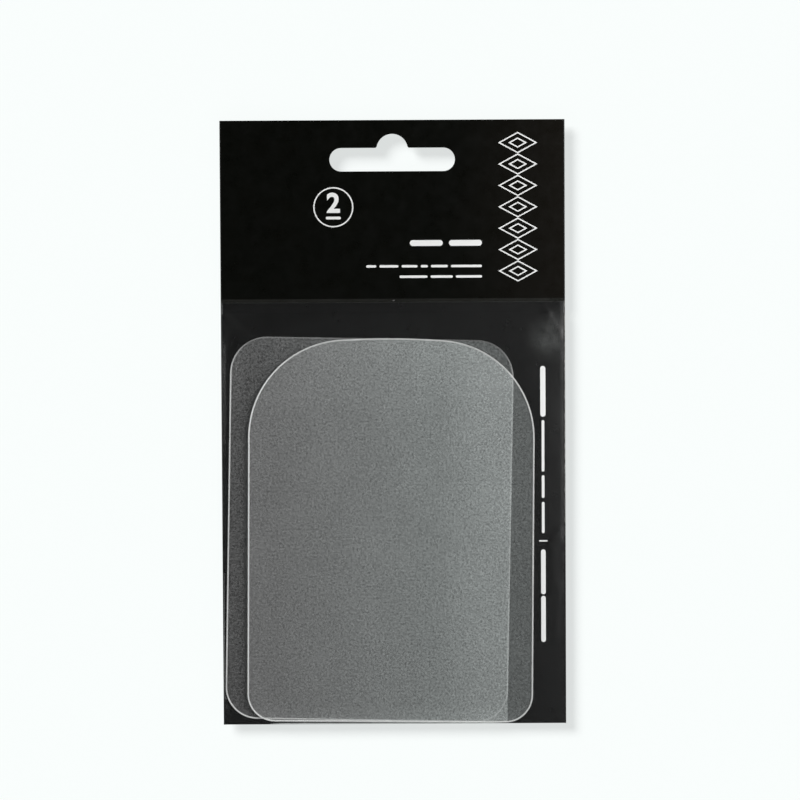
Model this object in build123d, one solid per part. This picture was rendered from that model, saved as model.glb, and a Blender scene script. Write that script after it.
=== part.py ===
from build123d import *
import os
from math import cos, hypot, radians, sin, sqrt

# Icing smoothers in a hang-sell pack: two thin, flexible frosted sheets in a film header bag.
# Sizes are in millimetres and degrees. X runs to the right and Z up, and the display face looks
# towards -Y. The origin is the top of the hang slot's arch, where a display peg carries the pack.

# Smoothers: nearly one blank size, cut with two different top shapes
smoother_width = 93.2
smoother_height = 125.4
square_top_side_trim = 1.0
square_top_end_trim = 0.4
smoother_thickness = 0.5
edge_break = 0.08
square_top_radius = 12.0
square_foot_radius = 10.4
round_foot_radius = 9.0
shoulder_radius = 31.9
crown_radius = 250.0

# How the smoothers lie in the pouch, with each lean to the right at the top
round_top_shift = -1.0
round_top_lean = 0.55
square_top_side_gap = 0.28
square_top_lean = 1.22
smoother_gap = 0.3
face_clearance = 0.06
foot_clearance = 0.04
free_play = 7.0
travel_clearance = 0.5

# Bag: film, and the room that it leaves round the smoothers
film = 0.08
side_room = 18.65
head_room = 13.45
weld_width = 0.4
fold_height = 0.08
foot_slope = 0.06
drape_margin = 0.16
drape_corner_radius = 5.0
weld_corner_radius = 0.4
lip_drop = 0.3

# Header: a stiffening strip between two printed films, closed by a crimped seal below
header_height = 57.9
stiffener_thickness = 0.3
stiffener_inset = 1.0
seal_height = 1.0
seal_thickness = 0.3
crimp_pitch = 1.6
crimp_width = 0.5
crimp_margin = 0.2
crimp_depth = 0.05

# Hang slot: two round-ended wings with an arch over their middle
slot_span = 40.7
slot_wing_height = 7.6
arch_radius = 5.1
arch_rise = 4.5
arch_root_radius = 0.6
slot_top_margin = 4.5

# Closing flap: a film strip over the mouth on the back, with an adhesive strip inside it
flap_length = 30.0
flap_side_gap = 0.05
flap_hinge_gap = 0.06
flap_bend_radius = 1.0
flap_lip_gap = 0.4
adhesive_thickness = 0.06
adhesive_gap = 0.02
adhesive_height = 8.0
adhesive_side_margin = 4.0
adhesive_edge_margin = 4.0


def leaning_reach(across, along, radius, lean):
    """How far a leaning blank with rounded corners reaches from its centre, along one axis."""
    lean = radians(lean)
    return (across / 2 - radius) * sin(lean) + (along / 2 - radius) * cos(lean) + radius


# Widths and heights
square_width = smoother_width - square_top_side_trim
square_height = smoother_height - square_top_end_trim
pack_width = smoother_width + side_room
pouch_height = smoother_height + head_room
half_width = pack_width / 2
half_pouch = half_width - weld_width
header_top = slot_top_margin
header_foot = header_top - header_height
seal_foot = header_foot - seal_height
pouch_foot = header_foot - pouch_height

# Where the smoothers lie, as the places of their centres
sheet_foot = pouch_foot + fold_height + film + foot_slope + foot_clearance
round_side_reach = leaning_reach(
    smoother_height, smoother_width, round_foot_radius, round_top_lean
)
round_foot_reach = leaning_reach(
    smoother_width, smoother_height, round_foot_radius, round_top_lean
)
square_side_reach = leaning_reach(
    square_height, square_width, square_foot_radius, square_top_lean
)
square_foot_reach = leaning_reach(
    square_width, square_height, square_foot_radius, square_top_lean
)
square_top_reach = leaning_reach(
    square_width, square_height, square_top_radius, square_top_lean
)
square_top_shift = square_top_side_gap + square_side_reach - half_pouch
round_top_middle = sheet_foot + round_foot_reach
square_top_middle = sheet_foot + square_foot_reach
highest_sheet = square_top_middle + square_top_reach

# Depths, from the weld plane at zero outwards
header_depth = stiffener_thickness / 2 + film
smoother_near = smoother_gap / 2
smoother_far = smoother_near + smoother_thickness
pouch_depth = smoother_far + face_clearance + film
flap_inner = pouch_depth + adhesive_thickness + adhesive_gap

# The mouth, and the hinge line of the flap that closes it
drape_top = highest_sheet + free_play + travel_clearance + film
mouth_height = drape_top - lip_drop
hinge_depth = seal_thickness / 2 + film
hinge_height = seal_foot - flap_hinge_gap
flap_tip = hinge_height - flap_length


def plate(outline, front, back):
    """A flat sheet with this front-view outline, from depth front to depth back."""
    return extrude(Plane.XZ.offset(-back) * outline, amount=back - front)


def upright_rectangle(left, right, foot, top):
    """A front-view rectangle between two sides and two heights."""
    middle = Pos((left + right) / 2, (foot + top) / 2)
    return middle * Rectangle(right - left, top - foot)


def round_top_outline():
    """A smoother's outline with wide shoulders under a slightly bowed top, centred on the blank."""
    half = smoother_width / 2
    top = smoother_height / 2
    foot = -top
    crown_centre = top - crown_radius
    reach = crown_radius - shoulder_radius
    shoulder_x = half - shoulder_radius
    shoulder_z = crown_centre + sqrt(reach**2 - shoulder_x**2)
    meet_x = shoulder_x * crown_radius / reach
    meet_z = crown_centre + (shoulder_z - crown_centre) * crown_radius / reach
    across = half - meet_x
    rise = meet_z - shoulder_z
    mid_x = shoulder_x + shoulder_radius * rise / hypot(across, rise)
    mid_z = shoulder_z + shoulder_radius * across / hypot(across, rise)
    edges = [
        Line((half, shoulder_z), (half, foot)),
        Line((half, foot), (-half, foot)),
        Line((-half, foot), (-half, shoulder_z)),
        ThreePointArc((-half, shoulder_z), (-mid_x, mid_z), (-meet_x, meet_z)),
        ThreePointArc((-meet_x, meet_z), (0, top), (meet_x, meet_z)),
        ThreePointArc((meet_x, meet_z), (mid_x, mid_z), (half, shoulder_z)),
    ]
    blank = make_face(edges)
    feet = blank.vertices().sort_by(Axis.Y)[:2]
    return fillet(feet, round_foot_radius)


def square_top_outline():
    """A smoother's outline with a straight top between rounded corners, centred on the blank."""
    blank = Rectangle(square_width, square_height)
    corners = blank.vertices().sort_by(Axis.Y)
    with_feet = fillet(corners[:2], square_foot_radius)
    tops = with_feet.vertices().sort_by(Axis.Y)[-2:]
    return fillet(tops, square_top_radius)


def smoother(outline, shift, middle, lean, front, back):
    """One cut sheet, leaning in the pouch, with its sharp edges broken."""
    place = Pos(shift, middle) * Rot(0, 0, -lean)
    sheet = plate(place * outline, front, back)
    faces = sheet.faces().sort_by(Axis.Y)
    return chamfer(faces[0].edges() + faces[-1].edges(), edge_break)


def drape(left, right, side, inset):
    """The pocket that a film makes over its smoother: a raised flat that slopes to the welds.

    side is -1 in front and 1 behind, and inset is taken off all round.
    """
    facing = {"x_dir": (1, 0, 0), "z_dir": (0, -1, 0)}
    foot = pouch_foot + fold_height + inset
    top = seal_foot - inset
    flat_foot = foot + foot_slope
    flat_top = drape_top - inset
    rim = RectangleRounded(2 * (half_pouch - inset), top - foot, weld_corner_radius)
    flat = RectangleRounded(right - left - 2 * inset, flat_top - flat_foot, drape_corner_radius)
    rim_plane = Plane(Vector(0, 0, (foot + top) / 2), **facing)
    raised = side * (pouch_depth - inset)
    flat_plane = Plane(Vector((left + right) / 2, raised, (flat_foot + flat_top) / 2), **facing)
    return loft([rim_plane * rim, flat_plane * flat], ruled=True)


def pouch_film(shift, side_reach, side):
    """One wall of the pouch, of even film, open towards the other wall."""
    left = shift - side_reach - drape_margin
    right = shift + side_reach + drape_margin
    return drape(left, right, side, 0) - drape(left, right, side, film)


def pouch_rear_film():
    """The rear wall, cut off at its lip to leave the pouch's mouth."""
    above = upright_rectangle(-half_width, half_width, mouth_height, header_top)
    wall = pouch_film(square_top_shift, square_side_reach, 1)
    return wall - plate(above, 0, 2 * pouch_depth)


def hang_slot():
    """The slot as a cutter right through the header, with its arch top at the origin."""
    wings = Pos(0, -arch_rise - slot_wing_height / 2) * SlotOverall(slot_span, slot_wing_height)
    arch = Pos(0, -arch_radius) * Circle(arch_radius)
    cutter = plate(wings + arch, -2 * header_depth, 2 * header_depth)
    through = cutter.edges().filter_by(Axis.Y)
    at_root = through.filter_by_position(Axis.Z, -arch_rise - film, -arch_rise + film)
    roots = at_root.sort_by(lambda edge: abs(edge.center().X))[:2]
    return fillet(roots, arch_root_radius)


def header_layer(half, foot, front, back):
    """A layer of the header, from its foot to the fold at the top, pierced by the hang slot."""
    outline = upright_rectangle(-half, half, foot, header_top - film)
    return plate(outline, front, back) - hang_slot()


def seal_band():
    """The heat seal under the header, with a row of crimps pressed into its front."""
    front = -seal_thickness / 2
    outline = upright_rectangle(-half_pouch, half_pouch, seal_foot, header_foot)
    bar = plate(outline, front, -front)
    mark = Rectangle(crimp_width, seal_height - 2 * crimp_margin)
    middle = Pos(0, (seal_foot + header_foot) / 2)
    count = int(2 * half_pouch / crimp_pitch) - 1
    row = GridLocations(crimp_pitch, seal_height, count, 1)
    return bar - [plate(middle * spot * mark, front, front + crimp_depth) for spot in row]


def side_weld(side):
    """The cut-and-sealed bead down one edge of the bag, rounded outside."""
    inner = side * half_pouch
    outer = side * half_width
    outline = upright_rectangle(min(inner, outer), max(inner, outer), pouch_foot, header_top)
    bead = plate(outline, -header_depth, header_depth)
    uprights = bead.edges().filter_by(Axis.Z).sort_by(Axis.X)
    outer_edges = uprights[:2] if side < 0 else uprights[-2:]
    return fillet(outer_edges, weld_width / 2)


def fold(foot, height, depth, side):
    """A film fold across the bag, rounded above for a side of 1 and below for a side of -1."""
    bar = Pos(0, 0, foot + height / 2) * Box(2 * half_pouch, 2 * depth, height)
    rims = bar.edges().filter_by(Axis.X).sort_by(Axis.Z)
    outer_edges = rims[-2:] if side > 0 else rims[:2]
    return fillet(outer_edges, min(height, depth) / 2)


def closing_flap():
    """The flap over the mouth, from its hinge line round the film's lip and down the back."""
    middle = flap_inner + film / 2
    shoulder = mouth_height + flap_lip_gap
    points = [(hinge_depth, hinge_height), (middle, shoulder), (middle, flap_tip)]
    path = FilletPolyline(points, radius=flap_bend_radius)
    outline = offset(path, amount=film / 2, side=Side.BOTH)
    section = Plane.YZ * make_face(outline.edges())
    return extrude(section, amount=half_pouch - flap_side_gap, both=True)


def adhesive_strip():
    """The adhesive inside the flap, which holds it to the rear film."""
    half = half_pouch - adhesive_side_margin
    foot = flap_tip + adhesive_edge_margin
    outline = upright_rectangle(-half, half, foot, foot + adhesive_height)
    return plate(outline, flap_inner - adhesive_thickness, flap_inner)


nodes = {
    "smoother_round_top": smoother(
        round_top_outline(),
        round_top_shift,
        round_top_middle,
        round_top_lean,
        -smoother_far,
        -smoother_near,
    ),
    "smoother_square_top": smoother(
        square_top_outline(),
        square_top_shift,
        square_top_middle,
        square_top_lean,
        smoother_near,
        smoother_far,
    ),
    "pouch_front_film": pouch_film(round_top_shift, round_side_reach, -1),
    "pouch_rear_film": pouch_rear_film(),
    "header_front_film": header_layer(
        half_pouch, header_foot, -header_depth, -stiffener_thickness / 2
    ),
    "header_rear_film": header_layer(
        half_pouch, header_foot, stiffener_thickness / 2, header_depth
    ),
    "header_stiffener": header_layer(
        half_pouch - stiffener_inset,
        header_foot + stiffener_inset,
        -stiffener_thickness / 2,
        stiffener_thickness / 2,
    ),
    "header_top_fold": fold(header_top - film, film, header_depth, 1),
    "header_seal_band": seal_band(),
    "side_weld_left": side_weld(-1),
    "side_weld_right": side_weld(1),
    "bottom_fold": fold(pouch_foot, fold_height, 2 * film, -1),
    "closing_flap": closing_flap(),
    "adhesive_strip": adhesive_strip(),
}

os.makedirs("parts", exist_ok=True)
for name, solid in nodes.items():
    export_step(solid, f"parts/{name}.step")
    print(name, round(solid.volume, 2))

print("pack", pack_width, "by", header_height + pouch_height)
print("foot of the pouch", round(pouch_foot, 3), "and rearmost", round(flap_inner + film, 3))
print("hinge line", round(hinge_depth, 3), round(hinge_height, 3))
print("highest sheet after free play", round(highest_sheet + free_play, 3))
print("mouth", round(mouth_height, 3), "and square top shift", round(square_top_shift, 3))
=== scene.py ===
from math import cos, exp, hypot, pi, radians, sin

import bmesh
import bpy
from mathutils import Matrix, Vector, noise


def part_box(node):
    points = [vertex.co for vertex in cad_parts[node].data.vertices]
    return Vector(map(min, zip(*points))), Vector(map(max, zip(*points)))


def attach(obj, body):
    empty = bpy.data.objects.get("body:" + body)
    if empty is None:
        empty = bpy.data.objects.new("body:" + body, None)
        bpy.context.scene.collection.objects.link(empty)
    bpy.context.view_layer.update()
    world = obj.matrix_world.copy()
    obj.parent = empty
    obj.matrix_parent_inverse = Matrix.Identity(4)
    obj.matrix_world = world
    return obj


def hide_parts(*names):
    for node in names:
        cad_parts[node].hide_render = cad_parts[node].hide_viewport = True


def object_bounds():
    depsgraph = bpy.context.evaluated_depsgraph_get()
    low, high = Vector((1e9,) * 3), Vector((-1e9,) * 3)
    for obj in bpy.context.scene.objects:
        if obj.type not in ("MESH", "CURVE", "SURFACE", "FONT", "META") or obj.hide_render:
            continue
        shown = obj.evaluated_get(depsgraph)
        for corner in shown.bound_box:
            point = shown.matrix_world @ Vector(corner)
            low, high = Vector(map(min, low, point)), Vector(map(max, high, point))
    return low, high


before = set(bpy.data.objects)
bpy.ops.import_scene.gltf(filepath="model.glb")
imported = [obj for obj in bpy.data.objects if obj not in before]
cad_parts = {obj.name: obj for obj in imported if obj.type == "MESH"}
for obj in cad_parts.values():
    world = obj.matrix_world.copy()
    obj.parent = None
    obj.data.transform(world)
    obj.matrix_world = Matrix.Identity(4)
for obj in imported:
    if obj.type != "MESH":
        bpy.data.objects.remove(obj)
cad_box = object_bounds()

# A hang-sell pack of two icing smoothers: two thin frosted sheets in a film header bag.
# Shapes are worked in millimetres and scaled to metres when each piece is finished. X runs to the
# right, Z up, and the display face looks towards -Y.
MM = 0.001


def node_box(node):
    """The lowest and highest corners of a node of the frame, in millimetres."""
    low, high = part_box(node)
    return low / MM, high / MM


PACK_LOW, PACK_HIGH = cad_box[0] / MM, cad_box[1] / MM
PACK_MIDDLE = (PACK_LOW.z + PACK_HIGH.z) / 2
FRONT_LOW, FRONT_HIGH = node_box("pouch_front_film")
REAR_LOW, REAR_HIGH = node_box("pouch_rear_film")
HEADER_LOW, HEADER_HIGH = node_box("header_front_film")
FLAP_HIGH = node_box("closing_flap")[1]
ROUND_LOW, ROUND_HIGH = node_box("smoother_round_top")
SQUARE_LOW, SQUARE_HIGH = node_box("smoother_square_top")

# Smoothers: the width and height of each blank, its lean to the right at the top and the radii
# of its upper and lower corners
ROUND_TOP = (93.2, 125.4, 0.55, 31.9, 9.0)
SQUARE_TOP = (92.2, 125.0, 1.22, 12.0, 10.4)
FREE_PLAY = 7.0
RIM_WIDTH = 0.38
RIM_RISE = 0.02

# Film: its thickness, how near it lies to what it covers, how far beside a sheet it starts to
# slope, which is further at the rear, and the mesh that drapes it
FILM = 0.08
FILM_CLEARANCE = 0.02
WELD_CLEARANCE = 0.005
FILM_EASE = 0.5
REAR_EASE = 0.4
FILM_STEP = 0.8
FOOT_ROWS = 5
FOOT_TURN = 0.14
HEADER_STEP = 2.0

# How far the film stands off between a sheet and the welds, and over the sheet itself
LOOSE_PUFF = 0.22
SNUG_PUFF = 0.03
PUFF_SIZE = 9.0
HEADER_RELIEF = 0.05
HEADER_RELIEF_SIZE = 26.0

# Each relief has a random pattern of its own
FRONT_SEED, REAR_SEED, HEADER_SEED, FLAP_SEED, CRUMPLE_SEED = 1.7, 5.3, 3.1, 8.9, 7.4

# The flap reaches almost to the welds, and the seal's lip closes the gap above the flap
FLAP_WELD_GAP = 0.01
SEAL_LIP_INSET = 0.02
SEAL_LIP_FRONT = 0.03
SEAL_LIP_DROP = 0.3

# Print: ink on the outside of the film
INK = 0.012
INK_STEP = 1.0

# Picture: a square frame of this width in the plane of the pack, seen from this far
FRAME_WIDTH = 260.2
CAMERA_DISTANCE = 1250.0
CAMERA_SENSOR = 36.0
CAMERA_RISE = 3.0
CAMERA_ROLL = 0.29
AIM_RIGHT = 2.16
AIM_UP = 7.5

# Studio: a white backdrop just behind the pack and a pale floor well below it
BACKDROP_WHITE = (0.947, 0.982, 0.973)
BACKDROP_GAP = 3.6
BACKDROP_SIZE = 600.0
BACKDROP_SHADE = 0.28
SUN_SHARE = 0.92
WORLD_GLOW = 0.015
FLOOR_DROP = 350.0
FLOOR_SIZE = 16000.0


# Meshes: points nearer than this are one, faces that turn less than the flat angle are one, and
# edges that turn less than the smooth angle are shaded as a curve
MERGE_GAP = 0.001
FLAT_ANGLE = 1.0
SMOOTH_ANGLE = 30.0


# Finishing a piece


def finish_piece(bm, name, body, finishes, replaces=()):
    """Turns a mesh in millimetres into a piece in metres that moves with its body."""
    bmesh.ops.scale(bm, vec=(MM, MM, MM), verts=bm.verts)
    mesh = bpy.data.meshes.new(name)
    bm.to_mesh(mesh)
    bm.free()
    for finish in finishes:
        mesh.materials.append(finish)
    mesh.shade_smooth()
    mesh.set_sharp_from_angle(angle=radians(SMOOTH_ANGLE))
    piece = bpy.data.objects.new(name, mesh)
    bpy.context.scene.collection.objects.link(piece)
    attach(piece, body)
    if replaces:
        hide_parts(*replaces)
    return piece


def copy_node(node):
    """A node of the frame as a clean mesh in millimetres, with its flat faces whole again."""
    bm = bmesh.new()
    bm.from_mesh(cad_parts[node].data)
    bmesh.ops.scale(bm, vec=(1 / MM, 1 / MM, 1 / MM), verts=bm.verts)
    bmesh.ops.remove_doubles(bm, verts=bm.verts, dist=MERGE_GAP)
    flat = radians(FLAT_ANGLE)
    bmesh.ops.dissolve_limit(bm, angle_limit=flat, verts=bm.verts, edges=bm.edges)
    return bm


def rule_off(bm, step, axes):
    """Cuts a flat piece into a mesh of even steps along these axes, so that it can take a relief."""
    for axis in axes:
        low = min(vert.co[axis] for vert in bm.verts)
        high = max(vert.co[axis] for vert in bm.verts)
        normal = Vector((0, 0, 0))
        normal[axis] = 1
        cuts = int((high - low) / step)
        for cut in range(1, cuts + 1):
            place = normal * (low + cut * (high - low) / (cuts + 1))
            everything = bm.verts[:] + bm.edges[:] + bm.faces[:]
            bmesh.ops.bisect_plane(bm, geom=everything, plane_co=place, plane_no=normal)


# The relief of the film


def ease(share):
    """A share from 0 to 1 that starts and ends softly."""
    share = min(max(share, 0), 1)
    return share * share * (3 - 2 * share)


def swell(x, z, size, seed):
    """Soft random relief from 0 to 1, with hollows and swells of about this size."""
    return 0.5 + 0.5 * noise.noise(Vector((x / size, z / size, seed)))


def off_blank(x, z, low, high, blank):
    """How far a point lies outside a leaning blank, wherever its free play may carry it."""
    width, height, lean, top_radius, foot_radius = blank
    middle_x = (low.x + high.x) / 2
    middle_z = (low.z + high.z) / 2
    turn = radians(lean)
    gaps = []
    level = min(max(z - middle_z, 0), FREE_PLAY)
    for lift in (0, level, FREE_PLAY):
        across = (x - middle_x) * cos(turn) - (z - middle_z - lift) * sin(turn)
        along = (x - middle_x) * sin(turn) + (z - middle_z - lift) * cos(turn)
        radius = top_radius if along > 0 else foot_radius
        past_side = abs(across) - width / 2 + radius
        past_end = abs(along) - height / 2 + radius
        corner = hypot(max(past_side, 0), max(past_end, 0))
        gaps.append(corner + min(max(past_side, past_end), 0) - radius)
    return min(gaps)


def off_round_top(x, z):
    return off_blank(x, z, ROUND_LOW, ROUND_HIGH, ROUND_TOP)


def off_square_top(x, z):
    return off_blank(x, z, SQUARE_LOW, SQUARE_HIGH, SQUARE_TOP)


def slack_share(off_sheet, to_weld):
    """0 where the film lies on its sheet and 1 at the weld, by the distance to each."""
    off_sheet = max(off_sheet - FILM_EASE, 0)
    to_weld = max(to_weld, 0)
    return off_sheet / (off_sheet + to_weld) if off_sheet > 0 else 0


# Creases that the packing left in the front film: from, to, half width and height
FRONT_CREASES = [
    ((-54.2, -56.6), (-45.6, -64.8), 0.8, 0.14),
    ((49.0, -56.4), (53.8, -64.6), 0.9, 0.12),
    ((50.6, -58.0), (48.2, -68.8), 1.0, 0.10),
    ((54.0, -129.0), (50.6, -133.8), 0.9, 0.16),
    ((54.2, -131.6), (51.6, -136.2), 0.8, 0.12),
    ((52.4, -140.0), (50.9, -152.0), 1.0, 0.10),
    ((53.6, -147.0), (52.2, -165.0), 1.0, 0.12),
]

# Where the film is crumpled: middle, reach and height
CRUMPLES = [
    ((51.6, -66.5), 7.0, 0.26),
    ((-52.8, -58.5), 3.2, 0.16),
    ((52.6, -136.0), 6.0, 0.14),
]
CRUMPLE_SIZE = 2.6


def crease_height(x, z, creases):
    """The height of the creases at a point, each a soft ridge along its line."""
    height = 0
    for (from_x, from_z), (to_x, to_z), half_width, rise in creases:
        along_x, along_z = to_x - from_x, to_z - from_z
        reach = hypot(along_x, along_z)
        share = ((x - from_x) * along_x + (z - from_z) * along_z) / reach**2
        held = min(max(share, 0), 1)
        gap = hypot(x - from_x - held * along_x, z - from_z - held * along_z)
        height += rise * exp(-((gap / half_width) ** 2))
    return height


def crumple_height(x, z):
    """The height of the crumpled patches at a point, fading out at their reach."""
    height = 0
    for (middle_x, middle_z), reach, rise in CRUMPLES:
        fade = exp(-(hypot(x - middle_x, z - middle_z) / reach) ** 2)
        height += rise * fade * swell(x, z, CRUMPLE_SIZE, CRUMPLE_SEED)
    return height


def front_film_depth(x, z):
    """How far the front film's skin stands forward of the weld plane."""
    to_side = FRONT_HIGH.x - abs(x)
    slack = slack_share(off_round_top(x, z), min(to_side, FRONT_HIGH.z - z))
    on_sheet = -ROUND_LOW.y + FILM_CLEARANCE + FILM
    at_weld = FILM + WELD_CLEARANCE
    puff = SNUG_PUFF + LOOSE_PUFF * 4 * slack * (1 - slack)
    held = min(to_side / FILM_STEP, 1)
    loose = puff * swell(x, z, PUFF_SIZE, FRONT_SEED)
    loose += crease_height(x, z, FRONT_CREASES)
    loose += crumple_height(x, z) * ease(off_round_top(x, z) / CRUMPLE_SIZE)
    return on_sheet + (at_weld - on_sheet) * slack + held * loose


def rear_film_depth(x, z):
    """How far the rear film's skin stands back from the weld plane."""
    to_side = REAR_HIGH.x - abs(x)
    slack = slack_share(off_square_top(x, z) - REAR_EASE, to_side)
    on_sheet = SQUARE_HIGH.y + FILM_CLEARANCE + FILM
    at_weld = FILM + WELD_CLEARANCE
    held = min(to_side / FILM_STEP, 1)
    loose = SNUG_PUFF * swell(x, z, PUFF_SIZE, REAR_SEED)
    return on_sheet + (at_weld - on_sheet) * slack + held * loose


def header_relief(x, z):
    """How far the header's film stands off its stiffener."""
    to_side = HEADER_HIGH.x - abs(x)
    to_end = min(z - HEADER_LOW.z, HEADER_HIGH.z - z)
    held = ease(min(to_side, to_end) / HEADER_STEP)
    return HEADER_RELIEF * held * swell(x, z, HEADER_RELIEF_SIZE, HEADER_SEED)


def header_skin(x, z):
    """The y of the header's printed face."""
    return HEADER_LOW.y - header_relief(x, z)


def front_skin(x, z):
    """The y of the pouch's front face."""
    return -front_film_depth(x, z)


# Pieces


def pouch_wall(name, low, high, depth, side, finish, node):
    """One wall of the pouch: a film draped over its smoother, turned in at the foot."""
    across = round((high.x - low.x) / FILM_STEP)
    up = round((high.z - low.z) / FILM_STEP) + FOOT_ROWS
    bm = bmesh.new()
    bmesh.ops.create_grid(bm, x_segments=across, y_segments=up, size=0.5)
    for vert in bm.verts:
        x = low.x + (vert.co.x + 0.5) * (high.x - low.x)
        row = round((vert.co.y + 0.5) * up)
        turn = min(row / FOOT_ROWS, 1) * pi / 2
        climb = max(row - FOOT_ROWS, 0) / (up - FOOT_ROWS)
        z = low.z + FOOT_TURN * (1 - cos(turn)) + climb * (high.z - low.z - FOOT_TURN)
        reach = depth(x, z)
        out = FILM + (reach - FILM) * sin(turn)
        vert.co = (x, side * out, z)
    if side > 0:
        bmesh.ops.reverse_faces(bm, faces=bm.faces)
    bm.normal_update()
    bmesh.ops.solidify(bm, geom=bm.faces[:], thickness=FILM)
    return finish_piece(bm, name, "pack", [finish], [node])


def smoother(name, node, body, sheet_finish, edge_finish):
    """A frosted sheet as it was cut: a fine bright rim round a matt face, front and back; the rim's
    brightness is a whitish burr and painted highlight.
    """
    bm = copy_node(node)
    faces = sorted(bm.faces, key=lambda face: face.calc_area())[-2:]
    bmesh.ops.inset_individual(bm, faces=faces, thickness=RIM_WIDTH, depth=-RIM_RISE)
    for face in bm.faces:
        face.material_index = 1
    for face in faces:
        face.material_index = 0
    return finish_piece(bm, name, body, [sheet_finish, edge_finish], [node])


def header_film(name, node, side, finish):
    """A film of the header, standing a little off its stiffener, pierced by the hang slot."""
    bm = copy_node(node)
    rule_off(bm, HEADER_STEP, (0, 2))
    for vert in bm.verts:
        vert.co.y += side * header_relief(vert.co.x, vert.co.z)
    return finish_piece(bm, name, "pack", [finish], [node])


def flap_film(finish):
    """The closing flap, which reaches the welds, with a slight relief below its hinge line."""
    bm = copy_node("closing_flap")
    rule_off(bm, HEADER_STEP, (0, 2))
    for vert in bm.verts:
        share = ease((FLAP_HIGH.z - vert.co.z) / HEADER_STEP - 1)
        vert.co.y += SNUG_PUFF * share * swell(vert.co.x, vert.co.z, PUFF_SIZE, FLAP_SEED)
        vert.co.x *= (FRONT_HIGH.x - FLAP_WELD_GAP) / FLAP_HIGH.x
    return finish_piece(bm, "closing_flap_film", "flap", [finish], ["closing_flap"])


def crimped_seal(finish):
    """The heat seal under the header, with the film's lip that hangs from it behind the front film."""
    bm = copy_node("header_seal_band")
    foot = min(bm.faces, key=lambda face: face.calc_center_median().z)
    bmesh.ops.inset_individual(bm, faces=[foot], thickness=SEAL_LIP_INSET)
    for vert in foot.verts:
        vert.co.y = SEAL_LIP_FRONT if vert.co.y < 0 else SEAL_LIP_FRONT + FILM
    drop = bmesh.ops.extrude_face_region(bm, geom=[foot])["geom"]
    bmesh.ops.delete(bm, geom=[foot], context="FACES_ONLY")
    lip = [item for item in drop if isinstance(item, bmesh.types.BMVert)]
    bmesh.ops.translate(bm, vec=(0, 0, -SEAL_LIP_DROP), verts=lip)
    bmesh.ops.recalc_face_normals(bm, faces=bm.faces)
    return finish_piece(bm, "crimped_seal", "pack", [finish], ["header_seal_band"])


# Print


def ink(bm, name, skin, finish):
    """Lays a flat print, drawn in x and z, on the film's face and gives it the ink's thickness."""
    front = bmesh.ops.extrude_face_region(bm, geom=bm.faces[:])["geom"]
    raised = {item for item in front if isinstance(item, bmesh.types.BMVert)}
    for vert in bm.verts:
        lift = 2 * INK if vert in raised else INK
        vert.co.y = skin(vert.co.x, vert.co.z) - lift
    bmesh.ops.recalc_face_normals(bm, faces=bm.faces)
    return finish_piece(bm, name, "pack", [finish])


BAR_SIDES = 5
BAR_ROUND_SHARE = 0.98


def add_bar(bm, left, right, foot, top):
    """A bar with round ends."""
    corners = [(left, foot), (right, foot), (right, top), (left, top)]
    verts = [bm.verts.new((x, 0, z)) for x, z in corners]
    bm.faces.new(verts)
    radius = min(right - left, top - foot) / 2 * BAR_ROUND_SHARE
    bmesh.ops.bevel(
        bm,
        geom=verts,
        offset=radius,
        segments=BAR_SIDES,
        profile=0.5,
        affect="VERTICES",
        material=-1,
    )


def add_outline(bm, outline, stroke):
    """The outline of a face as a band of this width, laid inside it."""
    verts = [bm.verts.new((x, 0, z)) for x, z in outline]
    face = bm.faces.new(verts)
    face.normal_update()
    bmesh.ops.inset_individual(bm, faces=[face], thickness=stroke, use_even_offset=True)
    bmesh.ops.delete(bm, geom=[face], context="FACES_ONLY")


# The badge: a ring round a plain numeral, over a short bar
BADGE_X, BADGE_Z = -19.15, -23.65
BADGE_RADIUS = 6.5
BADGE_STROKE = 0.42
BADGE_SIDES = 72
NUMERAL_HEIGHT = 6.6
NUMERAL_WEIGHT = 0.03
NUMERAL_RISE = 1.45
BADGE_BAR_WIDTH = 4.9
BADGE_BAR_HEIGHT = 0.9
BADGE_BAR_DROP = 3.5


def numeral_face():
    """A plain figure two, one millimetre high, as a flat mesh in x and z."""
    curve = bpy.data.curves.new("numeral", "FONT")
    curve.body = "2"
    curve.offset = NUMERAL_WEIGHT
    curve.align_x = "CENTER"
    drawn = bpy.data.objects.new("numeral", curve)
    bpy.context.scene.collection.objects.link(drawn)
    shape = bpy.context.evaluated_depsgraph_get()
    mesh = bpy.data.meshes.new_from_object(drawn.evaluated_get(shape))
    bpy.data.objects.remove(drawn)
    bm = bmesh.new()
    bm.from_mesh(mesh)
    bmesh.ops.remove_doubles(bm, verts=bm.verts, dist=MERGE_GAP / 10)
    left, right = [pick(vert.co.x for vert in bm.verts) for pick in (min, max)]
    foot, top = [pick(vert.co.y for vert in bm.verts) for pick in (min, max)]
    for vert in bm.verts:
        across = vert.co.x - (left + right) / 2
        up = vert.co.y - (foot + top) / 2
        vert.co = Vector((across, 0, up)) / (top - foot)
    return bm


def badge(finish):
    bm = numeral_face()
    for vert in bm.verts:
        vert.co = vert.co * NUMERAL_HEIGHT + Vector((BADGE_X, 0, BADGE_Z + NUMERAL_RISE))
    turns = [2 * pi * side / BADGE_SIDES for side in range(BADGE_SIDES)]
    ring = [(BADGE_X + BADGE_RADIUS * cos(a), BADGE_Z + BADGE_RADIUS * sin(a)) for a in turns]
    add_outline(bm, ring, BADGE_STROKE)
    bar_z = BADGE_Z - BADGE_BAR_DROP
    wide, high = BADGE_BAR_WIDTH / 2, BADGE_BAR_HEIGHT / 2
    add_bar(bm, BADGE_X - wide, BADGE_X + wide, bar_z - high, bar_z + high)
    return ink(bm, "print_badge", header_skin, finish)


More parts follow.
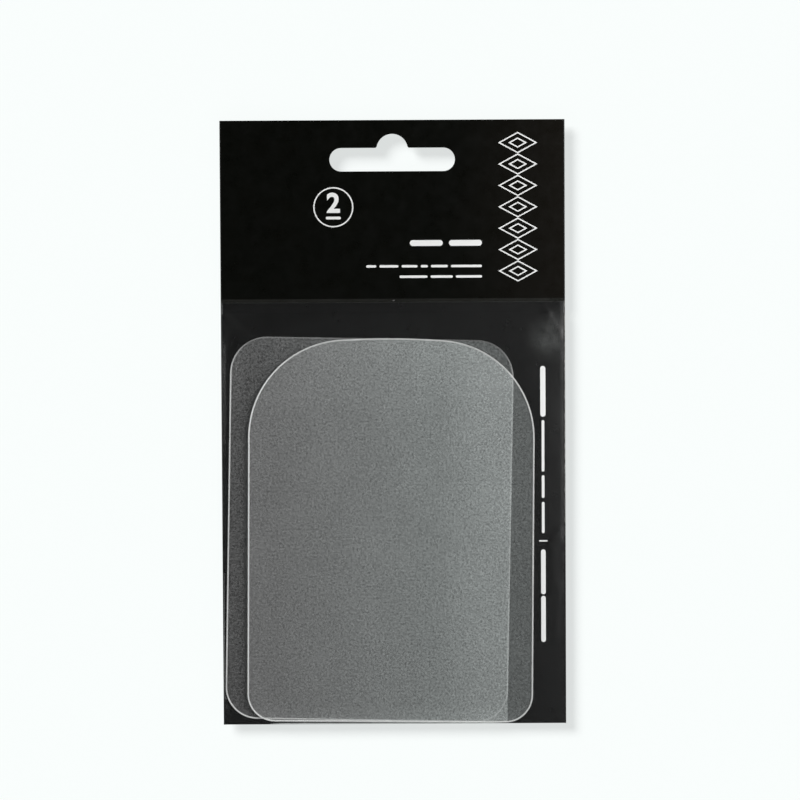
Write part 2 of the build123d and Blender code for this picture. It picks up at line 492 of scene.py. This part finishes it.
# The header's lines of bars, set to the right: height of the line, thickness, gap and bar widths
LINES_RIGHT = 29.0
BAR_LINES = [
    (-35.4, 1.9, 2.0, (10.7, 10.7)),
    (-42.9, 0.8, 1.0, (3.3, 6.2, 5.2, 2.3, 5.5, 10.1)),
    (-46.3, 0.8, 1.0, (9.1, 7.2, 8.5)),
]


def header_lines(finish):
    bm = bmesh.new()
    for middle, thickness, gap, widths in BAR_LINES:
        right = LINES_RIGHT
        for width in reversed(widths):
            add_bar(bm, right - width, right, middle - thickness / 2, middle + thickness / 2)
            right -= width + gap
    rule_off(bm, INK_STEP, (0,))
    return ink(bm, "print_lines", header_skin, finish)


# The column beside them: a chain of outlined lozenges, each with a smaller one inside
COLUMN_X = 40.7
COLUMN_TOP, COLUMN_FOOT = 0.45, -48.05
COLUMN_WIDTH = 12.8
COLUMN_COUNT = 7
COLUMN_STROKE = 0.4
INNER_SHARE = 0.48


def lozenge(middle_z, width, height):
    return [
        (COLUMN_X - width / 2, middle_z),
        (COLUMN_X, middle_z - height / 2),
        (COLUMN_X + width / 2, middle_z),
        (COLUMN_X, middle_z + height / 2),
    ]


def lozenge_column(finish):
    bm = bmesh.new()
    pitch = (COLUMN_TOP - COLUMN_FOOT) / COLUMN_COUNT
    for place in range(COLUMN_COUNT):
        middle = COLUMN_FOOT + (place + 0.5) * pitch
        for share in (1, INNER_SHARE):
            add_outline(bm, lozenge(middle, COLUMN_WIDTH * share, pitch * share), COLUMN_STROKE)
    rule_off(bm, INK_STEP, (0, 2))
    return ink(bm, "print_column", header_skin, finish)


# The bars up the side of the pouch: top, foot and thickness of each
SIDE_X = 48.6
SIDE_BARS = [
    (-75.5, -92.0, 1.7),
    (-93.1, -109.9, 0.9),
    (-111.1, -118.5, 0.9),
    (-119.8, -130.0, 0.9),
    (-135.3, -150.0, 1.5),
    (-150.5, -165.6, 1.5),
]
DIVIDER_Z = -132.5
DIVIDER_LENGTH = 2.8
DIVIDER_STROKE = 0.45


def side_lines(finish):
    bm = bmesh.new()
    for top, foot, thickness in SIDE_BARS:
        add_bar(bm, SIDE_X - thickness / 2, SIDE_X + thickness / 2, foot, top)
    wide, high = DIVIDER_LENGTH / 2, DIVIDER_STROKE / 2
    add_bar(bm, SIDE_X - wide, SIDE_X + wide, DIVIDER_Z - high, DIVIDER_Z + high)
    rule_off(bm, INK_STEP, (2,))
    return ink(bm, "print_side", front_skin, finish)


# Finishes

# Places where a finish changes, across the pack and up it
SHEET_LEFT, SHEET_RIGHT = -52.0, 42.0
SHEET_FOOT, SHEET_TOP = SQUARE_LOW.z, SQUARE_HIGH.z
MARKS_FOOT = -134.0
# Where the header's painted sheen starts
HEADER_SHEEN_LEFT = 18.0

# Frosting: the size of its speckle and clouds, its tints at the left and right, how much more it
# scatters at the foot and how far that and the top's painted highlight reach in
SPECKLE_SIZE, CLOUD_SIZE = 0.65, 16.0
LEFT_FROST, RIGHT_FROST = (0.92, 0.92, 0.92), (0.87, 0.93, 0.915)
FOOT_LIFT, FOOT_LIFT_REACH, TOP_HIGHLIGHT_REACH = 1.25, 6.0, 26.0

# The share of the light that frosting scatters: where the sheets lie together, from left to right,
# rising to the right as a painted highlight from the right-hand lamp, where the front sheet lies
# alone, and at the rear sheet's left edge and beyond it
LEFT_SHARE, RIGHT_SHARE, ALONE_SHARE = 0.108, 0.168, 0.076
REAR_EDGE_SHARE, REAR_SHARE = 0.062, 0.045
# Painted highlight where the sheets lie together towards the right
OVERLAP_RIGHT_HIGHLIGHT = 1.15
OVERLAP_BLUR = 0.15

# Cut edges: how far in from the sheet's ends their burr and its painted highlight change
BURR_HIGHLIGHT_TOP, BURR_HIGHLIGHT_TOP_REACH, BURR_HIGHLIGHT_FOOT_REACH = 2.0, 14.0, 60.0

# Clear film: what it mirrors face on, its haze, and how much thicker that is in places, as a painted
# highlight at the crumpled patch and beside the right weld
FACE_ON_MIRROR = 0.028
LEAST_HAZE, MOST_HAZE = 0.0006, 0.0024
CRUMPLE_HIGHLIGHT_HAZE, CRUMPLE_HIGHLIGHT_REACH = 17.0, 10.0
WELD_HIGHLIGHT_HAZE = 10.0
# Painted highlight at the film's fold along the foot
FOLD_HIGHLIGHT_WHITE = 0.9

# Painted highlight along the foot, where the sheets' lower edges catch the light through the film's
# fold: where it starts and is full, in from either side of the front sheet, and how soon it ends above
FOOT_HIGHLIGHT_LEFT, FOOT_HIGHLIGHT_RIGHT = (7.0, 12.0), (14.0, 10.0)
FOOT_HIGHLIGHT_HEIGHT = 0.2
FOOT_HIGHLIGHT_WHITE = (0.75, 0.76, 0.75)

# Blacks: the two between which each film varies, and the header's painted sheen at the right
HEADER_BLACKS = (0.0004, 0.0006, 0.0001), (0.0010, 0.0012, 0.0002)
HEADER_RIGHT_SHEEN = (0.0050, 0.0040, 0.0026)
POUCH_BLACKS = (0.0008, 0.0008, 0.0008), (0.0016, 0.0016, 0.0016)
SEAL_BLACKS = (0.0040, 0.0043, 0.0030), (0.0085, 0.0088, 0.0064)


class Finish:
    """A material under construction, with short ways to add its nodes."""

    def __init__(self, name):
        self.material = bpy.data.materials.new(name)
        self.material.use_nodes = True
        self.tree = self.material.node_tree
        self.tree.nodes.clear()
        self.output = self.tree.nodes.new("ShaderNodeOutputMaterial")
        self.place = self.add("TexCoord").outputs["Object"]

    def add(self, kind, **settings):
        """A node. Its settings are its properties, or a dictionary of its sockets."""
        node = self.tree.nodes.new("ShaderNode" + kind)
        sockets = settings.pop("sockets", {})
        for name, value in settings.items():
            setattr(node, name, value)
        for name, value in sockets.items():
            if isinstance(value, bpy.types.NodeSocket):
                self.tree.links.new(value, node.inputs[name])
            else:
                node.inputs[name].default_value = value
        return node

    def grain(self, size, detail=2.0, rough=0.5):
        """Random grain with features of about this size in millimetres, around 0.5."""
        scale = 1 / (size * MM)
        sockets = {"Vector": self.place, "Scale": scale, "Detail": detail, "Roughness": rough}
        return self.add("TexNoise", sockets=sockets).outputs["Fac"]

    def spread(self, value, low, high, from_low=0.3, from_high=0.7):
        """The value spread between a low and a high one."""
        sockets = {"Value": value, "To Min": low, "To Max": high}
        sockets |= {"From Min": from_low, "From Max": from_high}
        return self.add("MapRange", sockets=sockets).outputs["Result"]

    def colours(self, value, low, high):
        """A colour between a low and a high one, each three numbers or another node's colour."""
        ends = [end if isinstance(end, bpy.types.NodeSocket) else (*end, 1) for end in (low, high)]
        node = self.add("Mix", data_type="RGBA", sockets={0: value, 6: ends[0], 7: ends[1]})
        return node.outputs[2]

    def product(self, *values):
        """Several values multiplied together."""
        result = values[0]
        for value in values[1:]:
            node = self.add("Math", operation="MULTIPLY", sockets={0: result, 1: value})
            result = node.outputs[0]
        return result

    def across(self, left, right, from_left, to_right):
        """A value that goes from left to right between two places in millimetres."""
        way = self.add("SeparateXYZ", sockets={"Vector": self.place}).outputs["X"]
        return self.spread(way, left, right, from_left * MM, to_right * MM)

    def upwards(self, low, high, from_low, to_high):
        """A value that goes from low to high between two heights in millimetres."""
        way = self.add("SeparateXYZ", sockets={"Vector": self.place}).outputs["Z"]
        return self.spread(way, low, high, from_low * MM, to_high * MM)

    def near(self, place, there, beyond, reach):
        """A value that goes from one at a place in x and z to another at a reach from it."""
        x, z = place
        spot = (x * MM, 0, z * MM)
        gap = self.add("VectorMath", operation="DISTANCE", sockets={0: self.place, 1: spot})
        sockets = {"Value": gap.outputs["Value"], "To Min": there, "To Max": beyond}
        sockets |= {"From Min": 0, "From Max": reach * MM}
        node = self.add("MapRange", interpolation_type="SMOOTHSTEP", sockets=sockets)
        return node.outputs["Result"]

    def relief(self, value, height):
        """A bump of this height in millimetres."""
        sockets = {"Height": value, "Distance": height * MM, "Strength": 1.0}
        return self.add("Bump", sockets=sockets).outputs["Normal"]

    def mirror_share(self, normal):
        """How much a clear film mirrors: a little face on, and far more at a slant."""
        slant = self.add("LayerWeight", sockets={"Blend": 0.5, "Normal": normal}).outputs["Facing"]
        steep = self.add("Math", operation="POWER", sockets={0: slant, 1: 5.0}).outputs[0]
        return self.spread(steep, FACE_ON_MIRROR, 1, 0, 1)

    def blend(self, share, first, second):
        """Two shaders mixed by the second one's share."""
        return self.add("MixShader", sockets={0: share, 1: first, 2: second}).outputs[0]

    def done(self, shader):
        self.tree.links.new(shader, self.output.inputs["Surface"])
        return self.material


def frosted_plastic(name, share_over, top_highlight, speckle):
    """Frosted clear plastic: each face scatters a share of the light, in a fine speckle.

    It scatters more at the foot, and its lift along the top is a painted highlight from the lamps
    above.
    """
    finish = Finish(name)
    share = share_over(finish)
    # Painted highlight: the frosting is lifted along the top
    top = finish.upwards(1, top_highlight, SHEET_TOP - TOP_HIGHLIGHT_REACH, SHEET_TOP)
    foot = finish.upwards(FOOT_LIFT, 1, SHEET_FOOT, SHEET_FOOT + FOOT_LIFT_REACH)
    grain = finish.grain(SPECKLE_SIZE, 1.5, 0.65)
    speckled = finish.spread(grain, 1 - speckle, 1 + speckle, 0.38, 0.62)
    cloud = finish.spread(finish.grain(CLOUD_SIZE), 0.95, 1.05)
    cover = finish.product(speckled, cloud, top, foot, share)
    to_right = finish.across(0, 1, SHEET_LEFT, SHEET_RIGHT - 30)
    tint = finish.colours(to_right, LEFT_FROST, RIGHT_FROST)
    matt = finish.add(
        "BsdfPrincipled", sockets={"Base Color": tint, "Roughness": 0.6, "Specular IOR Level": 0.3}
    )
    clear = finish.add("BsdfTransparent")
    return finish.done(finish.blend(cover, clear.outputs[0], matt.outputs[0]))


def rear_share(finish):
    """The rear sheet's share: a little more towards its left edge."""
    return finish.across(REAR_EDGE_SHARE, REAR_SHARE, SHEET_LEFT - 1.5, SHEET_LEFT + 5)


def front_share(finish):
    """The front sheet's share: more where it lies on the rear sheet, rising to the right as a painted
    highlight.
    """
    width, _, lean, _, _ = SQUARE_TOP
    turn = radians(lean)
    outwards = Vector((cos(turn), 0, -sin(turn)))
    middle = (SQUARE_LOW + SQUARE_HIGH) / 2
    edge = (middle.dot(outwards) + width / 2) * MM
    reach = finish.add(
        "VectorMath", operation="DOT_PRODUCT", sockets={0: finish.place, 1: outwards}
    ).outputs["Value"]
    # Painted highlight: the share rises towards the right-hand lamp, most where the sheets lie
    # together at the right
    together = finish.product(
        finish.across(LEFT_SHARE, RIGHT_SHARE, SHEET_LEFT + 14, SHEET_RIGHT),
        finish.across(1, OVERLAP_RIGHT_HIGHLIGHT, SHEET_RIGHT - 26, SHEET_RIGHT - 15),
    )
    beyond = finish.spread(reach, 0, 1, edge - OVERLAP_BLUR * MM, edge + OVERLAP_BLUR * MM)
    mix = finish.add("Mix", sockets={0: beyond, 2: together, 3: ALONE_SHARE})
    return mix.outputs[0]


def edge_burr_highlight(name, left_share, right_share, top_share, foot_share):
    """The rim that the die leaves: a whitish burr, with painted highlight brighter at the left and
    foot, dimmer at the right and top.
    """
    finish = Finish(name)
    # Painted highlight: the rim is brighter where the edges face the lamps
    side = finish.across(left_share, right_share, SHEET_LEFT, SHEET_RIGHT)
    top = finish.upwards(1, top_share, SHEET_TOP - BURR_HIGHLIGHT_TOP_REACH, SHEET_TOP - BURR_HIGHLIGHT_TOP)
    foot = finish.upwards(foot_share, 1, SHEET_FOOT, SHEET_FOOT + BURR_HIGHLIGHT_FOOT_REACH)
    uneven = finish.spread(finish.grain(5.0), 0.85, 1.1)
    cover = finish.product(side, top, foot, uneven)
    sockets = {"Base Color": (0.92, 0.93, 0.92, 1), "Roughness": 0.5}
    burr_highlight = finish.add("BsdfPrincipled", sockets=sockets)
    clear = finish.add("BsdfTransparent")
    return finish.done(finish.blend(cover, clear.outputs[0], burr_highlight.outputs[0]))


def foot_highlight_share(finish):
    """How much painted highlight whitens the film along the foot, where the front sheet's lower edge
    catches the light.
    """
    from_left = finish.across(0, 1, *(ROUND_LOW.x + inset for inset in FOOT_HIGHLIGHT_LEFT))
    from_right = finish.across(1, 0, *(ROUND_HIGH.x - inset for inset in FOOT_HIGHLIGHT_RIGHT))
    below = finish.upwards(1, 0, SHEET_FOOT, SHEET_FOOT + FOOT_HIGHLIGHT_HEIGHT)
    uneven = finish.spread(finish.grain(4.0), 0.6, 1.0)
    return finish.product(from_left, from_right, below, uneven)


def clear_film():
    """Clear packaging film: a faint uneven haze, and gloss that follows its small waves.

    The haze is thicker where the film is most crumpled, and along the right weld where its
    stress marks are; both are painted highlight.
    At its fold along the foot it is whitened by a painted highlight.
    """
    finish = Finish("clear_film")
    # Painted highlight: thicker haze at the crumpled patch and beside the right weld
    crumpled = finish.near(CRUMPLES[0][0], CRUMPLE_HIGHLIGHT_HAZE, 1, CRUMPLE_HIGHLIGHT_REACH)
    beside = finish.across(0, WELD_HIGHLIGHT_HAZE, FRONT_HIGH.x - 1.6, FRONT_HIGH.x - 0.4)
    above = finish.upwards(0.15, 1, MARKS_FOOT, MARKS_FOOT + 6)
    weld = finish.product(beside, above)
    haze_and_highlight = finish.add("Math", operation="MAXIMUM", sockets={0: crumpled, 1: weld}).outputs[0]
    mottle = finish.spread(finish.grain(7.0, 4.0, 0.65), LEAST_HAZE, MOST_HAZE)
    mottled = finish.product(mottle, haze_and_highlight)
    fold_foot, fold_top = FRONT_LOW.z + 1.5 * FOOT_TURN, FRONT_LOW.z + 3 * FOOT_TURN
    # Painted highlight: the fold along the foot is whitened
    fold_highlight = finish.product(
        foot_highlight_share(finish), finish.upwards(FOLD_HIGHLIGHT_WHITE, 0, fold_foot, fold_top)
    )
    cover = finish.add("Math", operation="MAXIMUM", sockets={0: mottled, 1: fold_highlight}).outputs[0]
    waves = finish.relief(finish.grain(3.2, 2.0), 0.02)
    sockets = {"Base Color": (0.80, 0.84, 0.82, 1), "Roughness": 0.5, "Normal": waves}
    haze = finish.add("BsdfPrincipled", sockets=sockets)
    sockets = {"Color": (0.9, 0.9, 0.9, 1), "Roughness": 0.32, "Normal": waves}
    gloss = finish.add("BsdfGlossy", sockets=sockets)
    above_fold = finish.upwards(0, 1, FRONT_LOW.z + FOOT_TURN, FRONT_LOW.z + 2 * FOOT_TURN)
    mirror = finish.product(finish.mirror_share(waves), above_fold)
    clear = finish.add("BsdfTransparent")
    hazy = finish.blend(cover, clear.outputs[0], haze.outputs[0])
    return finish.done(finish.blend(mirror, hazy, gloss.outputs[0]))


def black_film(name, rough, specular, blacks, right=None):
    """Film printed solid black, with a sheen broken by small waves and rubbed patches.

    Along the foot it is whitened with a painted highlight, and at the right it turns to a painted
    sheen where one is given.
    """
    finish = Finish(name)
    black = finish.colours(finish.grain(9.0, 4.0, 0.6), *blacks)
    # Painted highlight: the film is whitened along the foot
    tint = finish.colours(foot_highlight_share(finish), black, FOOT_HIGHLIGHT_WHITE)
    # Painted sheen: the header lightens towards the right
    if right:
        tint = finish.colours(finish.across(0, 1, HEADER_SHEEN_LEFT, PACK_HIGH.x), tint, right)
    rubbed = finish.spread(finish.grain(5.0, 5.0, 0.7), rough * 0.85, rough * 1.2)
    waves = finish.relief(finish.grain(4.5, 2.0), 0.015)
    sockets = {"Base Color": tint, "Roughness": rubbed, "Normal": waves}
    sockets["Specular IOR Level"] = specular
    return finish.done(finish.add("BsdfPrincipled", sockets=sockets).outputs[0])


def side_seal(name, least, most):
    """A side weld: black, with whitish stress marks beside the pouch, denser towards its mouth. Where
    the marks are set heavy they also stand for a painted highlight.
    """
    finish = Finish(name)
    marks = finish.spread(finish.grain(1.6, 4.0, 0.7), least, most, 0.4, 0.75)
    beside = finish.upwards(0.15, 1, MARKS_FOOT, MARKS_FOOT + 12)
    below = finish.upwards(1, 0, FRONT_HIGH.z, FRONT_HIGH.z + 0.5)
    cover = finish.product(marks, beside, below)
    tint = finish.colours(cover, (0.002, 0.002, 0.0015), (0.55, 0.55, 0.53))
    sockets = {"Base Color": tint, "Roughness": 0.4}
    return finish.done(finish.add("BsdfPrincipled", sockets=sockets).outputs[0])


def white_ink():
    """Opaque white ink, with the fine unevenness of a screen print."""
    finish = Finish("white_ink")
    tint = finish.colours(finish.grain(0.5, 3.0), (0.84, 0.85, 0.84), (0.92, 0.92, 0.91))
    sockets = {"Base Color": tint, "Roughness": 0.45}
    return finish.done(finish.add("BsdfPrincipled", sockets=sockets).outputs[0])


def stiffener_board():
    """Black plastic strip, matt where it is cut."""
    finish = Finish("stiffener_plastic")
    tint = finish.colours(finish.grain(1.2, 3.0), (0.010, 0.010, 0.009), (0.02, 0.02, 0.018))
    sockets = {"Base Color": tint, "Roughness": 0.55}
    return finish.done(finish.add("BsdfPrincipled", sockets=sockets).outputs[0])


def tacky_strip():
    """Clear adhesive, cloudy and a little uneven."""
    finish = Finish("adhesive_film")
    cover = finish.spread(finish.grain(2.2, 4.0, 0.7), 0.30, 0.55)
    sockets = {"Base Color": (0.72, 0.73, 0.68, 1), "Roughness": 0.25}
    glue = finish.add("BsdfPrincipled", sockets=sockets)
    clear = finish.add("BsdfTransparent")
    return finish.done(finish.blend(cover, clear.outputs[0], glue.outputs[0]))


def backdrop_finish(name, one_sided):
    """White that keeps the pack's soft shadow. Where one-sided, only its front shows."""
    finish = Finish(name)
    sockets = {"Color": (*BACKDROP_WHITE, 1), "Strength": 1 - BACKDROP_SHADE}
    glow = finish.add("Emission", sockets=sockets)
    shaded = [BACKDROP_SHADE * channel for channel in BACKDROP_WHITE]
    matt = finish.add("BsdfDiffuse", sockets={"Color": (*shaded, 1)})
    white = finish.add("AddShader", sockets={0: glow.outputs[0], 1: matt.outputs[0]})
    seen = finish.add("LightPath").outputs["Is Camera Ray"]
    if not one_sided:
        return finish.done(finish.blend(seen, matt.outputs[0], white.outputs[0]))
    back = finish.add("NewGeometry").outputs["Backfacing"]
    facing = finish.add("Math", operation="SUBTRACT", use_clamp=True, sockets={0: seen, 1: back})
    clear = finish.add("BsdfTransparent")
    return finish.done(finish.blend(facing.outputs[0], clear.outputs[0], white.outputs[0]))


# The pack itself


def dress_pack():
    film = clear_film()
    header_black = black_film("header_black", 0.30, 0.24, HEADER_BLACKS, HEADER_RIGHT_SHEEN)
    rear_black = black_film("pouch_black", 0.30, 0.14, POUCH_BLACKS)
    seal_black = black_film("seal_black", 0.42, 0.4, SEAL_BLACKS)
    white = white_ink()
    smoother(
        "frosted_round_top",
        "smoother_round_top",
        "front_smoother",
        frosted_plastic("frosted_front", front_share, 1.15, 0.42),
        edge_burr_highlight("edge_burr_highlight_front", 1.0, 0.56, 0.62, 1.15),
    )
    smoother(
        "frosted_square_top",
        "smoother_square_top",
        "rear_smoother",
        frosted_plastic("frosted_rear", rear_share, 1.7, 0.60),
        edge_burr_highlight("edge_burr_highlight_rear", 0.62, 0.22, 0.25, 1.5),
    )
    pouch_wall(
        "clear_front",
        FRONT_LOW,
        FRONT_HIGH,
        front_film_depth,
        -1,
        film,
        "pouch_front_film",
    )
    pouch_wall(
        "black_rear",
        REAR_LOW,
        REAR_HIGH,
        rear_film_depth,
        1,
        rear_black,
        "pouch_rear_film",
    )
    header_film("header_front", "header_front_film", -1, header_black)
    header_film("header_rear", "header_rear_film", 1, header_black)
    flap_film(rear_black)
    crimped_seal(seal_black)
    badge(white)
    header_lines(white)
    lozenge_column(white)
    side_lines(white)
    kept = {
        "header_top_fold": header_black,
        "side_weld_left": side_seal("left_seal", 0.03, 0.10),
        # The right weld's heavier marks are partly stress marks and partly a painted highlight where
        # it catches the right-hand lamp
        "side_weld_right": side_seal("right_seal", 0.04, 0.45),
        "bottom_fold": rear_black,
        "header_stiffener": stiffener_board(),
        "adhesive_strip": tacky_strip(),
    }
    for node, finish in kept.items():
        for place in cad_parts[node].material_slots:
            place.material = finish


# Studio


def stage_plane(name, size, place, turn, finish):
    bm = bmesh.new()
    bmesh.ops.create_grid(bm, x_segments=1, y_segments=1, size=size / 2)
    bmesh.ops.transform(bm, matrix=Matrix.Translation(place) @ turn, verts=bm.verts)
    bmesh.ops.scale(bm, vec=(MM, MM, MM), verts=bm.verts)
    mesh = bpy.data.meshes.new(name)
    bm.to_mesh(mesh)
    bm.free()
    mesh.materials.append(finish)
    plane = bpy.data.objects.new(name, mesh)
    bpy.context.scene.collection.objects.link(plane)
    return plane


def make_stage():
    backdrop = stage_plane(
        "backdrop",
        BACKDROP_SIZE,
        Vector((0, PACK_HIGH.y + BACKDROP_GAP, PACK_MIDDLE)),
        Matrix.Rotation(pi / 2, 4, "X"),
        backdrop_finish("backdrop_white", True),
    )
    floor = stage_plane(
        "floor",
        FLOOR_SIZE,
        Vector((0, 0, PACK_LOW.z - FLOOR_DROP)),
        Matrix.Identity(4),
        backdrop_finish("floor_white", False),
    )
    return [backdrop, floor]


def light(name, kind, place, aim, **settings):
    """A lamp at a place in millimetres, turned towards its aim."""
    lamp = bpy.data.lights.new(name, kind)
    for setting, value in settings.items():
        setattr(lamp, setting, value)
    shown = bpy.data.objects.new(name, lamp)
    shown.location = Vector(place) * MM
    shown.rotation_euler = (Vector(aim) - Vector(place)).to_track_quat("-Z", "Y").to_euler()
    bpy.context.scene.collection.objects.link(shown)
    return shown


def light_only(lamp, things, state):
    """Keeps a lamp to these things, or off them."""
    group = bpy.data.collections.new(lamp.name + "_" + state.lower())
    for thing in things:
        group.objects.link(thing)
    lamp.light_linking.receiver_collection = group
    for entry in group.collection_objects:
        entry.light_linking.link_state = state


def softbox(name, place, size, energy):
    """A square softbox of this size in metres, turned towards the middle of the pack."""
    middle = (0, 0, PACK_MIDDLE)
    return light(name, "AREA", place, middle, shape="SQUARE", size=size, energy=energy)


def make_lights(stage):
    softboxes = [
        softbox("right_softbox", (420, -360, 60), 0.30, 3.4),
        softbox("left_fill", (-640, -330, 120), 0.45, 2.2),
        softbox("rear_softbox", (-380, 620, 260), 0.40, 5.0),
        softbox("rear_fill", (480, 520, 0), 0.40, 2.4),
    ]
    for lamp in softboxes:
        light_only(lamp, stage, "EXCLUDE")
    slope = Vector((-0.82, -1.0, 0.80))
    sun = light("shadow_sun", "SUN", slope * 500, (0, 0, 0), angle=radians(25))
    facing = -slope.normalized().y
    sun.data.energy = SUN_SHARE * pi / abs(facing)
    light_only(sun, stage, "INCLUDE")


def make_world():
    world = bpy.data.worlds.new("studio")
    world.use_nodes = True
    tree = world.node_tree
    tree.nodes.clear()
    output = tree.nodes.new("ShaderNodeOutputWorld")
    seen = tree.nodes.new("ShaderNodeBackground")
    seen.inputs["Color"].default_value = (*BACKDROP_WHITE, 1)
    dim = tree.nodes.new("ShaderNodeBackground")
    dim.inputs["Color"].default_value = (*BACKDROP_WHITE, 1)
    dim.inputs["Strength"].default_value = WORLD_GLOW
    path = tree.nodes.new("ShaderNodeLightPath")
    mix = tree.nodes.new("ShaderNodeMixShader")
    tree.links.new(path.outputs["Is Camera Ray"], mix.inputs[0])
    tree.links.new(dim.outputs[0], mix.inputs[1])
    tree.links.new(seen.outputs[0], mix.inputs[2])
    tree.links.new(mix.outputs[0], output.inputs["Surface"])
    bpy.context.scene.world = world


def make_camera():
    lens = bpy.data.cameras.new("camera")
    lens.sensor_width = CAMERA_SENSOR
    lens.lens = CAMERA_SENSOR * CAMERA_DISTANCE / FRAME_WIDTH
    lens.clip_start = 0.05
    lens.clip_end = 50.0
    camera = bpy.data.objects.new("camera", lens)
    tilt = Matrix.Rotation(radians(90 - CAMERA_RISE), 4, "X")
    turn = tilt @ Matrix.Rotation(radians(-CAMERA_ROLL), 4, "Z")
    aim = Vector((AIM_RIGHT, 0, PACK_MIDDLE + AIM_UP)) * MM
    back = turn @ Vector((0, 0, CAMERA_DISTANCE * MM))
    camera.matrix_world = Matrix.Translation(aim + back) @ turn
    bpy.context.scene.collection.objects.link(camera)
    bpy.context.scene.camera = camera


dress_pack()
make_lights(make_stage())
make_world()
make_camera()
bpy.context.scene.view_settings.view_transform = "Standard"
